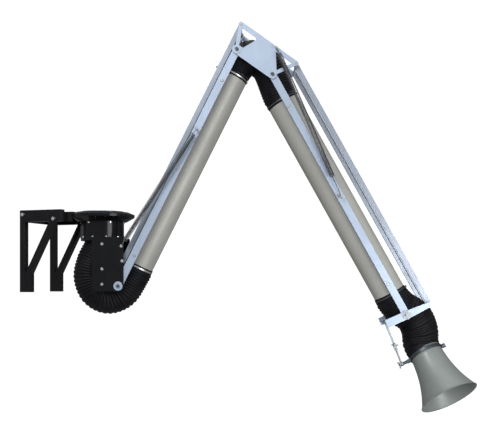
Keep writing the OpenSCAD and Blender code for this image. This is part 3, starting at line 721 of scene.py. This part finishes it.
def spring_pair(part, short_by):
    """The springs on both sides of an arm; the coils end short of the far stud."""
    near, far = pivot(part + "_spring_turn"), pivot(part + "_hook_turn")
    along = (far - near).normalized()
    length = (far - near).length - short_by - SPRING_LEAD
    for side, word in ((1, "left"), (-1, "right")):
        out = ACROSS * SPRING_LAYER * side
        spring = coil(f"{part}_spring_{word}", near + out, along, length, part + "_springs")
        hook = draw_hook(f"{part}_draw_hook_{word}", far + out, along, short_by + HOOK_REACH,
                         part + "_spring_hooks")
        if word == "left":
            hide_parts(part + "_springs")
            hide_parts(part + "_spring_hooks")


spring_pair("lower", 30 * MM)
spring_pair("upper", 108 * MM)

# ---------------------------------------------------------------- hood

def hood_sizes():
    """The CAD hood's top and mouth along its axis, and its widest radius."""
    points = [v.co for v in frame["nodes"]["hood_shell"].data.vertices]
    heights = [(p - collar).dot(HOOD_AXIS) for p in points]
    top, mouth = min(heights), max(heights)
    widest = max(((p - collar) - HOOD_AXIS * h).length for p, h in zip(points, heights))
    return top, mouth, widest


HOOD_TOP, HOOD_MOUTH, HOOD_WIDEST = hood_sizes()
HOOD_NECK_R, HOOD_NECK_END = 82 * MM, 24 * MM
HOOD_WALL, HOOD_BEAD = 1.4 * MM, 3.4 * MM
FLARE_STEPS, BEAD_STEPS = 44, 10
FLARE_CONE, FLARE_POWER = 0.30, 2.3      # share of the widening that is a plain cone; the rest sweeps out


def make_hood():
    """Spun flare with a straight neck and a rolled bead at the mouth."""
    mouth_r = HOOD_WIDEST - HOOD_BEAD
    mouth_h = HOOD_MOUTH - HOOD_BEAD
    outside = [(HOOD_NECK_R, HOOD_TOP)]
    for i in range(FLARE_STEPS + 1):
        share = i / FLARE_STEPS
        widening = FLARE_CONE * share + (1 - FLARE_CONE) * share ** FLARE_POWER
        outside.append((HOOD_NECK_R + (mouth_r - HOOD_NECK_R) * widening,
                        HOOD_NECK_END + (mouth_h - HOOD_NECK_END) * share))
    roll = []
    for i in range(1, BEAD_STEPS):
        a = math.pi * i / BEAD_STEPS
        roll.append((mouth_r + HOOD_BEAD * math.sin(a) * 0.9,
                     mouth_h + HOOD_BEAD * (1 - math.cos(a)) * 0.5))
    inside = [(r - HOOD_WALL, h) for r, h in reversed(outside)]
    bm = bmesh.new()
    lathe(bm, outside + roll + inside, collar, HOOD_AXIS, stud_axis)
    piece = new_piece("hood_flare", bm, HOOD)
    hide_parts("hood_shell")
    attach(piece, "hood")


make_hood()

# ---------------------------------------------------------------- stage, light and camera


STAGE_HALF, STAGE_TOP = 14.0, 14.0
SWEEP_AT, SWEEP_R, SWEEP_STEPS = 5.0, 3.0, 12         # where the sheet starts to curve up, and how
FLOOR_DROP = 1.4                         # below the CAD, so that no pose reaches the sheet
STAGE_GLOW = 0.9


def make_stage():
    """Plain sheet that runs back and curves up into a wall; the eye sees it white."""
    floor_z = cad_low.z - FLOOR_DROP
    bm = bmesh.new()
    sides = []
    for x in (-STAGE_HALF, STAGE_HALF):
        row = [(-STAGE_HALF, floor_z)]
        for k in range(SWEEP_STEPS + 1):
            a = math.pi / 2 * k / SWEEP_STEPS
            row.append((SWEEP_AT + SWEEP_R * math.sin(a), floor_z + SWEEP_R * (1 - math.cos(a))))
        row.append((SWEEP_AT + SWEEP_R, floor_z + STAGE_TOP))
        sides.append([bm.verts.new(Vector((x, y, z))) for y, z in row])
    left, right = sides
    for k in range(len(left) - 1):
        bm.faces.new((left[k], right[k], right[k + 1], left[k + 1]))
    n = Nodes("stage_white")
    paper = n.mix(n.noise(2, 3), (0.33, 0.33, 0.33), (0.37, 0.37, 0.37))
    material = n.finish(paper, 0.9)
    n.shader.inputs["Emission Color"].default_value = (1, 1, 1, 1)
    seen = n.tree.nodes.new("ShaderNodeLightPath").outputs["Is Camera Ray"]
    n.link(n.math("MULTIPLY", seen, STAGE_GLOW), n.shader.inputs["Emission Strength"])
    new_piece("stage_floor", bm, material)


make_stage()


def area_light(name, place, target, size, power):
    """White square lamp at a place, facing its target."""
    light = bpy.data.lights.new(name, "AREA")
    light.energy, light.size = power, size
    lamp = bpy.data.objects.new(name, light)
    bpy.context.scene.collection.objects.link(lamp)
    lamp.location = place
    lamp.rotation_euler = (target - place).to_track_quat("-Z", "Y").to_euler()


middle = (cad_low + cad_high) / 2
TOWARDS = -ACROSS                                   # towards the viewer
area_light("key", middle + TOWARDS * 4.0 - OUT * 2.0 + UP * 3.0, middle, 2.0, 165)
area_light("fill", middle + TOWARDS * 2.4 + OUT * 2.0 - UP * 0.5, YOKE, 1.6, 52)
area_light("top", middle + UP * 4.5, middle, 4.0, 90)
area_light("low", middle + TOWARDS * 2.2 - UP * 2.2 + OUT * 1.6, collar, 2.0, 26)

world = bpy.data.worlds.new("studio")
bpy.context.scene.world = world
world.use_nodes = True
world.node_tree.nodes["Background"].inputs["Color"].default_value = (1, 1, 1, 1)
world.node_tree.nodes["Background"].inputs["Strength"].default_value = 0.4
bpy.context.scene.view_settings.view_transform = "Standard"


EYE_OUT, EYE_UP, EYE_BACK = 737.5, -341.3, 4.5
PICTURE_WIDTH = 2.5                      # metres seen at the arm's distance
HORIZON_SHIFT = 0.121                    # of the lens, as a share of the picture's width
SENSOR = 36


def make_camera():
    """Level, square on to the arm, with the lens shifted to keep the horizon where the eye stood."""
    camera = bpy.data.cameras.new("camera")
    camera.sensor_width = SENSOR
    camera.lens = SENSOR * EYE_BACK / PICTURE_WIDTH
    camera.shift_y = HORIZON_SHIFT
    eye = bpy.data.objects.new("camera", camera)
    bpy.context.scene.collection.objects.link(eye)
    eye.location = at(EYE_OUT, EYE_UP) + TOWARDS * EYE_BACK
    eye.rotation_euler = ACROSS.to_track_quat("-Z", "Y").to_euler()
    bpy.context.scene.camera = eye


make_camera()
